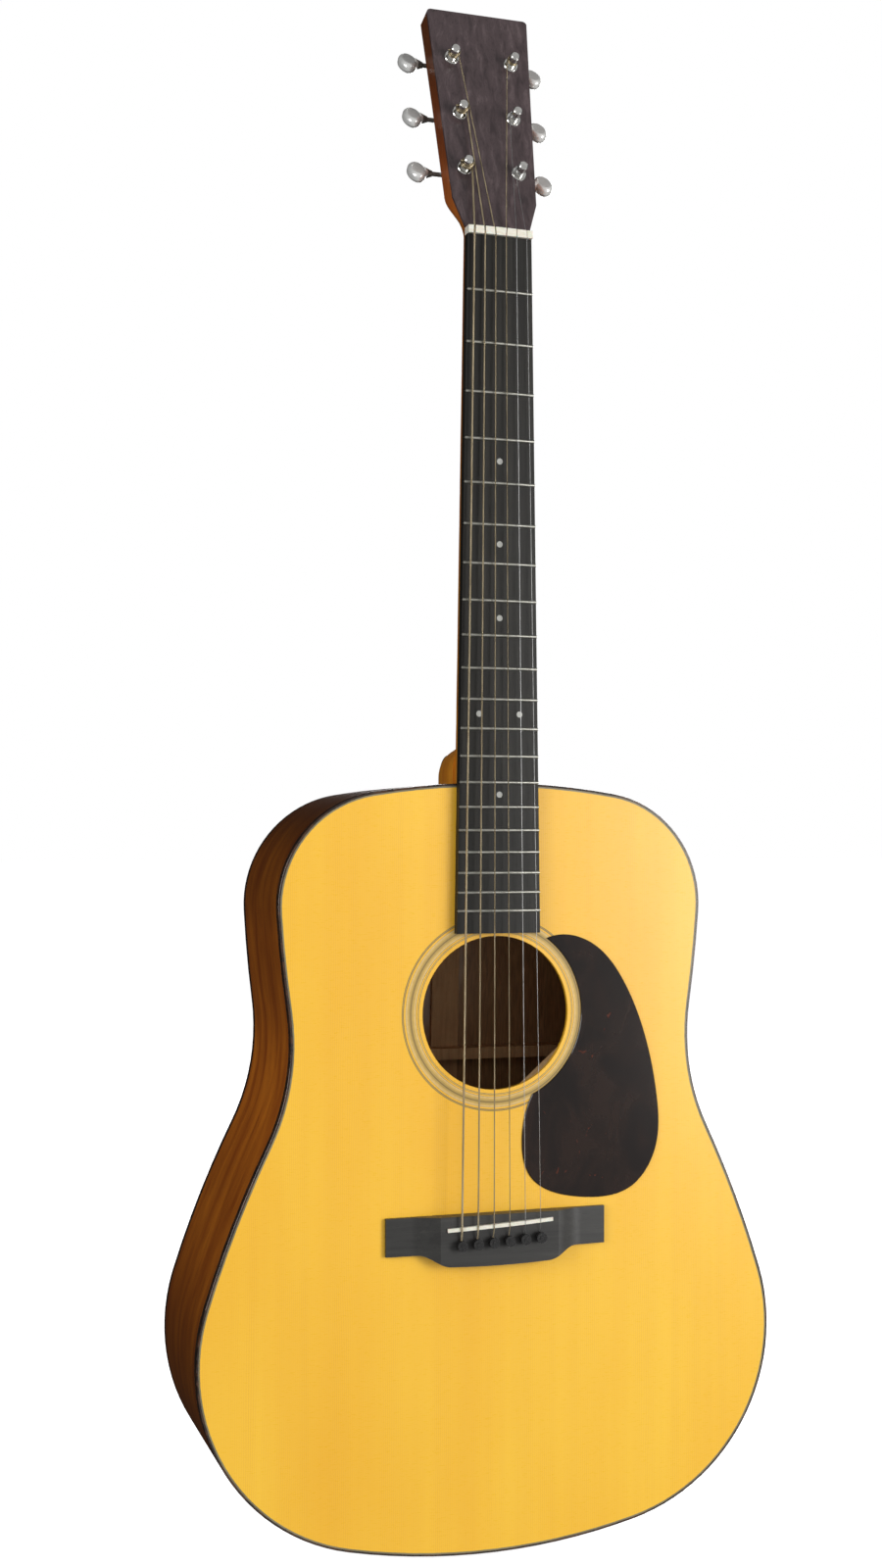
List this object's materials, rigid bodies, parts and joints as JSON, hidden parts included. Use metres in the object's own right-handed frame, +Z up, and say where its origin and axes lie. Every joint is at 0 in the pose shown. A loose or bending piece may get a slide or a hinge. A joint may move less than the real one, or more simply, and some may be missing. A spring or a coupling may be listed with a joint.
{
  "type": "acoustic guitar",
  "caption": "Flat-top acoustic guitar with square shoulders, spruce top, mahogany body and neck, strings, and worm-geared tuners that turn.",
  "frame": {"origin": "where the strap pin's foot meets the tail of the body, on the centre line, halfway through the body's greatest depth", "axes": "+Z runs up the neck to the headstock, -Y is the front (soundboard) side, +X is the treble side"},
  "size_m": [0.399, 0.1383, 1.0413],
  "materials": {
    "spruce_top": "gloss amber lacquer over straight-grained spruce",
    "rosette_inlay": "fine rings under gloss lacquer",
    "tortoise_plastic": "polished dark tortoise-pattern plastic",
    "mahogany_body": "gloss lacquer over reddish-brown mahogany",
    "mahogany_neck": "satin lacquer over amber mahogany",
    "back_inlay": "marquetry strip under gloss lacquer",
    "binding_plastic": "gloss dark tortoise binding",
    "purfling_plastic": "black and ivory lines under gloss lacquer",
    "inner_wood": "raw planed spruce",
    "maple": "raw maple",
    "ebony": "satin oiled ebony",
    "rosewood_headplate": "gloss rosewood veneer",
    "bone": "polished bone",
    "black_plastic": "polished black plastic",
    "pearl": "mother-of-pearl",
    "nickel": "polished nickel plate",
    "fret_wire": "polished nickel-silver wire",
    "steel": "plain steel bar",
    "brass_fitting": "machined brass",
    "bronze_string": "bronze winding on a steel core",
    "plain_string": "bright plain steel wire"
  },
  "bodies": {
    "guitar": {"soundboard": "spruce_top", "rosette": "rosette_inlay", "pickguard": "tortoise_plastic", "back_plates": "mahogany_body", "back_strip": "back_inlay", "side_bass": "mahogany_body", "side_treble": "mahogany_body", "end_graft": "binding_plastic", "top_binding": "binding_plastic", "top_purfling": "purfling_plastic", "back_binding": "binding_plastic", "kerfed_linings": "inner_wood", "neck_block": "mahogany_neck", "tail_block": "mahogany_neck", "end_pin": "black_plastic", "x_braces": "inner_wood", "transverse_brace": "inner_wood", "tone_bars": "inner_wood", "finger_braces": "inner_wood", "bridge_plate": "maple", "back_braces": "mahogany_neck", "bridge": "ebony", "saddle": "bone", "bridge_pins": "black_plastic", "neck": "mahogany_neck", "headstock_overlay": "rosewood_headplate", "heel_cap": "binding_plastic", "fingerboard": "ebony", "frets": "fret_wire", "position_dots": "pearl", "nut": "bone", "truss_rod": "steel", "tuner_screws": "nickel", "tuner_plates": "nickel", "tuner_bushings": "nickel", "string_1": "plain_string", "string_2": "plain_string", "string_3": "bronze_string", "string_4": "bronze_string", "string_5": "bronze_string", "string_6": "bronze_string"},
    "post_1": {"tuner_1_post": "nickel", "tuner_1_gear": "brass_fitting"},
    "knob_1": {"tuner_1_knob": "nickel"},
    "post_2": {"tuner_2_post": "nickel", "tuner_2_gear": "brass_fitting"},
    "knob_2": {"tuner_2_knob": "nickel"},
    "post_3": {"tuner_3_post": "nickel", "tuner_3_gear": "brass_fitting"},
    "knob_3": {"tuner_3_knob": "nickel"},
    "post_4": {"tuner_4_post": "nickel", "tuner_4_gear": "brass_fitting"},
    "knob_4": {"tuner_4_knob": "nickel"},
    "post_5": {"tuner_5_post": "nickel", "tuner_5_gear": "brass_fitting"},
    "knob_5": {"tuner_5_knob": "nickel"},
    "post_6": {"tuner_6_post": "nickel", "tuner_6_gear": "brass_fitting"},
    "knob_6": {"tuner_6_knob": "nickel"},
    "rod_nut": {"truss_rod_nut": "brass_fitting"}
  },
  "joints": [
    {"name": "knob_1_turn", "type": "hinge", "parent": "guitar", "child": "knob_1", "pos_m": [0.019, -0.02869, 0.91591], "axis": [1, 0, 0], "continuous": true},
    {"name": "post_1_turn", "type": "hinge", "parent": "guitar", "child": "post_1", "pos_m": [0.019, -0.03076, 0.90818], "axis": [0, -0.9659, 0.2588], "continuous": true},
    {"name": "knob_2_turn", "type": "hinge", "parent": "guitar", "child": "knob_2", "pos_m": [0.019, -0.01792, 0.95609], "axis": [1, 0, 0], "continuous": true},
    {"name": "post_2_turn", "type": "hinge", "parent": "guitar", "child": "post_2", "pos_m": [0.019, -0.01999, 0.94837], "axis": [0, -0.9659, 0.2588], "continuous": true},
    {"name": "knob_3_turn", "type": "hinge", "parent": "guitar", "child": "knob_3", "pos_m": [0.021, -0.007, 0.99686], "axis": [1, 0, 0], "continuous": true},
    {"name": "post_3_turn", "type": "hinge", "parent": "guitar", "child": "post_3", "pos_m": [0.021, -0.00907, 0.98913], "axis": [0, -0.9659, 0.2588], "continuous": true},
    {"name": "knob_4_turn", "type": "hinge", "parent": "guitar", "child": "knob_4", "pos_m": [-0.021, -0.007, 0.99686], "axis": [1, 0, 0], "continuous": true},
    {"name": "post_4_turn", "type": "hinge", "parent": "guitar", "child": "post_4", "pos_m": [-0.021, -0.00907, 0.98913], "axis": [0, -0.9659, 0.2588], "continuous": true},
    {"name": "knob_5_turn", "type": "hinge", "parent": "guitar", "child": "knob_5", "pos_m": [-0.019, -0.01792, 0.95609], "axis": [1, 0, 0], "continuous": true},
    {"name": "post_5_turn", "type": "hinge", "parent": "guitar", "child": "post_5", "pos_m": [-0.019, -0.01999, 0.94837], "axis": [0, -0.9659, 0.2588], "continuous": true},
    {"name": "knob_6_turn", "type": "hinge", "parent": "guitar", "child": "knob_6", "pos_m": [-0.019, -0.02869, 0.91591], "axis": [1, 0, 0], "continuous": true},
    {"name": "post_6_turn", "type": "hinge", "parent": "guitar", "child": "post_6", "pos_m": [-0.019, -0.03076, 0.90818], "axis": [0, -0.9659, 0.2588], "continuous": true},
    {"name": "rod_nut_turn", "type": "hinge", "parent": "guitar", "child": "rod_nut", "pos_m": [0, -0.054, 0.4485], "axis": [0, 0, 1], "range_deg": [-360, 360]}
  ],
  "couplings": [
    {"joint": "post_1_turn", "follows": "knob_1_turn", "ratio": 0.071429},
    {"joint": "post_2_turn", "follows": "knob_2_turn", "ratio": 0.071429},
    {"joint": "post_3_turn", "follows": "knob_3_turn", "ratio": 0.071429},
    {"joint": "post_4_turn", "follows": "knob_4_turn", "ratio": 0.071429},
    {"joint": "post_5_turn", "follows": "knob_5_turn", "ratio": 0.071429},
    {"joint": "post_6_turn", "follows": "knob_6_turn", "ratio": 0.071429}
  ]
}
